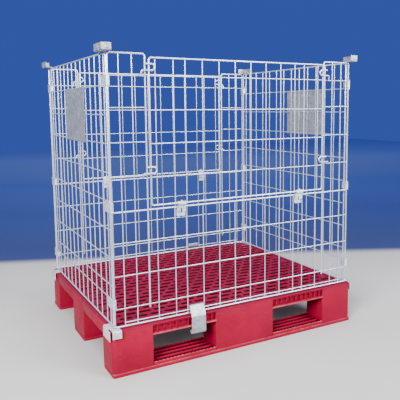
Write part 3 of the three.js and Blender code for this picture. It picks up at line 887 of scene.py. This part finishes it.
def hold_down_clamp():
    form = Form()
    section = [
        (-477.8, 16.0), (-477.8, 31.8), (-484.2, 31.0), (-503.9, -12.0), (-504.4, -79.0),
        (-500.0, -86.0), (-493.0, -86.6), (-489.0, -72.0),
    ]
    strip(form, section, 2.5, -262, -197, along_x, bend=5.0, edge=0.6, steps=6)
    return form


def label_plate(low_y, high_y):
    form = Form()
    strip(form, [(-587.15, 706.0), (-587.15, 935.5), (-581.8, 935.5)], 1.2, low_y, high_y, along_y, 1.6, 0.3)
    return form


# ---------------------------------------------------------------- assembly


def make_long_side(side, turn):
    def put(form, part, body, slot):
        piece(form.moved(turn), f"{side}_{part}", body, slot)

    leaf = f"{side}_gate_leaf"
    plates = f"{side}_hinge_plates"
    put(lower_panel(), "panel_lower", ROOT, "zinc_wire")
    put(upper_panel(), "panel_upper_a", ROOT, "zinc_wire")
    put(upper_panel().moved(MIRROR_X), "panel_upper_b", ROOT, "zinc_wire")
    put(gate_panel(), "gate", leaf, "zinc_wire")
    for name, x in (("a", -HINGE_X), ("b", HINGE_X)):
        # The hinge plates take the lighter sheet copy, which is painted light.
        piece(hinge_plate(x).moved(turn), f"{side}_hinge_plate_{name}", plates, "zinc_sheet", SHEET_PAINTED_LIGHTER)
    for level, (leg, tip) in {"top": (988, 968), "low": (595, 584)}.items():
        put(latch_hook(leg, tip), f"hook_{level}_a", leaf, "zinc_wire")
        put(latch_hook(leg, tip).moved(MIRROR_X), f"hook_{level}_b", leaf, "zinc_wire")
    put(hold_down_clamp(), "clamp", f"{side}_clamp_hook", "zinc_sheet")
    # The foot plate takes the lighter sheet copy, which is painted light.
    piece(foot_plate_long().moved(turn), f"{side}_foot_plate", ROOT, "zinc_sheet", SHEET_PAINTED_LIGHTER)


def make_short_sides():
    piece(side_panel(), "left_panel", ROOT, "zinc_wire")
    piece(side_panel().moved(HALF_TURN), "right_panel", ROOT, "zinc_wire")
    piece(label_plate(-177, 123), "left_label_plate", ROOT, "zinc_sheet")
    piece(label_plate(-287, 13).moved(MIRROR_X), "right_label_plate", ROOT, "zinc_sheet")


def make_corners():
    levels = {"top": ((929, 970), (937, 961)), "mid": ((452, 492), (457, 487)), "low": ((73, 115), (77, 102))}
    long_clip = (-424, (-452.5, -441.5))
    short_clip = (-455, (-476, -469))
    shapes = {}
    shapes["stack_plate_long"] = stacking_plate_long()
    shapes["stack_plate_short"] = stacking_plate_short()
    shapes["foot_plate_short"] = foot_plate_short()
    corners = {
        "front_left": Matrix.Identity(4),
        "front_right": MIRROR_X,
        "rear_left": MIRROR_Y,
        "rear_right": HALF_TURN,
    }
    for corner, matrix in corners.items():
        reach = long_clip if corner.endswith("left") else short_clip
        for level, spans in levels.items():
            shapes[f"clip_{level}"] = corner_clip(*spans, *reach)
        for part, form in shapes.items():
            # Clips and foot plates take the lighter sheet copy, which is painted light; the stacking plates
            # take the plain sheet.
            finish = SHEET if part.startswith("stack") else SHEET_PAINTED_LIGHTER
            piece(form.moved(matrix), f"{corner}_{part}", ROOT, "zinc_sheet", finish)


# ---------------------------------------------------------------- studio


def make_floor():
    form = Form()
    half = 12000
    form.add([(-half, -half, 0), (half, -half, 0), (half, half, 0), (-half, half, 0)], [(0, 1, 2, 3)])
    floor = form.object("studio_floor")
    material, nodes, links, shader = new_material("studio_floor_finish")
    place = nodes.new("ShaderNodeTexCoord").outputs["Object"]
    patches = texture(nodes, links, "ShaderNodeTexNoise", 1.2, place, Detail=3.0)
    pale = ramp(nodes, links, patches.outputs["Fac"], [
        (0.3, (0.33, 0.315, 0.30)), (0.7, (0.36, 0.345, 0.33))])
    oval = nodes.new("ShaderNodeMapping")
    oval.vector_type = "TEXTURE"
    oval.inputs["Rotation"].default_value = (0, 0, math.radians(-23.8))
    oval.inputs["Scale"].default_value = (5, 1, 1)
    links.new(place, oval.inputs["Vector"])
    reach = nodes.new("ShaderNodeVectorMath")
    reach.operation = "LENGTH"
    links.new(oval.outputs["Vector"], reach.inputs[0])
    away = ranged(nodes, links, reach.outputs["Value"], 0.0, 1.0, 1.02, 1.20, "SMOOTHSTEP")
    # Painted light: beyond the pale oval the floor is blue, painted dark close to the container and lighter
    # further out to make up for the lamps' falloff, so it reads as an even blue.
    blue = ramp(nodes, links, ranged(nodes, links, reach.outputs["Value"], 0.0, 1.0, 1.5, 9.0), [
        (0.0, (0.006, 0.018, 0.10)), (0.2, (0.014, 0.040, 0.20)), (0.5, (0.06, 0.13, 0.42)),
        (1.0, (0.30, 0.45, 0.75))])
    # Painted shadow: the floor under the pallet is painted dark, standing in for the pallet's shadow.
    under = box_mask(nodes, links, place, (0, 0, 0), (0.50, 0.42, 1.0), 0.09)
    under_pallet_painted_shadow = mixed(nodes, links, under, pale, (0.15, 0.135, 0.12, 1))
    links.new(mixed(nodes, links, away, under_pallet_painted_shadow, blue), shader.inputs["Base Color"])
    shader.inputs["Roughness"].default_value = 0.85
    floor.data.materials.append(material)


def make_world():
    world = bpy.data.worlds.new("studio")
    world.use_nodes = True
    background = world.node_tree.nodes["Background"]
    background.inputs["Color"].default_value = (0.040, 0.080, 0.40, 1)
    background.inputs["Strength"].default_value = 1.0
    bpy.context.scene.world = world


def make_light(name, place, target, size, power, colour):
    data = bpy.data.lights.new(name, "AREA")
    data.shape = "RECTANGLE"
    data.size = size[0]
    data.size_y = size[1]
    data.energy = power
    data.color = colour
    light = bpy.data.objects.new(name, data)
    light.location = place
    aim = Vector(target) - Vector(place)
    light.rotation_euler = aim.to_track_quat("-Z", "Y").to_euler()
    bpy.context.scene.collection.objects.link(light)


def make_lights():
    make_light("key", (-3.5, -2.9, 2.6), (0, 0, 0.6), (2.2, 1.8), 1000, (1.0, 0.985, 0.96))
    make_light("fill", (2.4, -4.0, 2.6), (0, 0, 0.6), (2.4, 2.2), 560, (0.96, 0.98, 1.0))
    make_light("top", (0.2, 0.8, 4.0), (0, 0, 0.4), (3.0, 3.0), 160, (1.0, 1.0, 1.0))


def make_camera():
    data = bpy.data.cameras.new("camera")
    data.sensor_width = 36.0
    data.lens = 50.14
    data.shift_x = -0.0703
    data.shift_y = -0.0647
    data.clip_start = 0.05
    data.clip_end = 100.0
    camera = bpy.data.objects.new("camera", data)
    right = Vector((0.867767, -0.496922, -0.006929))
    up = Vector((0.063589, 0.097195, 0.993232))
    back = Vector((-0.492886, -0.862335, 0.115942))
    turn = Matrix((right, up, back)).transposed()
    camera.matrix_world = Matrix.Translation((-1.2275, -2.5021, 1.0371)) @ turn.to_4x4()
    bpy.context.scene.collection.objects.link(camera)
    bpy.context.scene.camera = camera


make_pallet()
make_long_side("front", Matrix.Identity(4))
make_long_side("rear", HALF_TURN)
make_short_sides()
make_corners()
make_floor()
make_world()
make_lights()
make_camera()
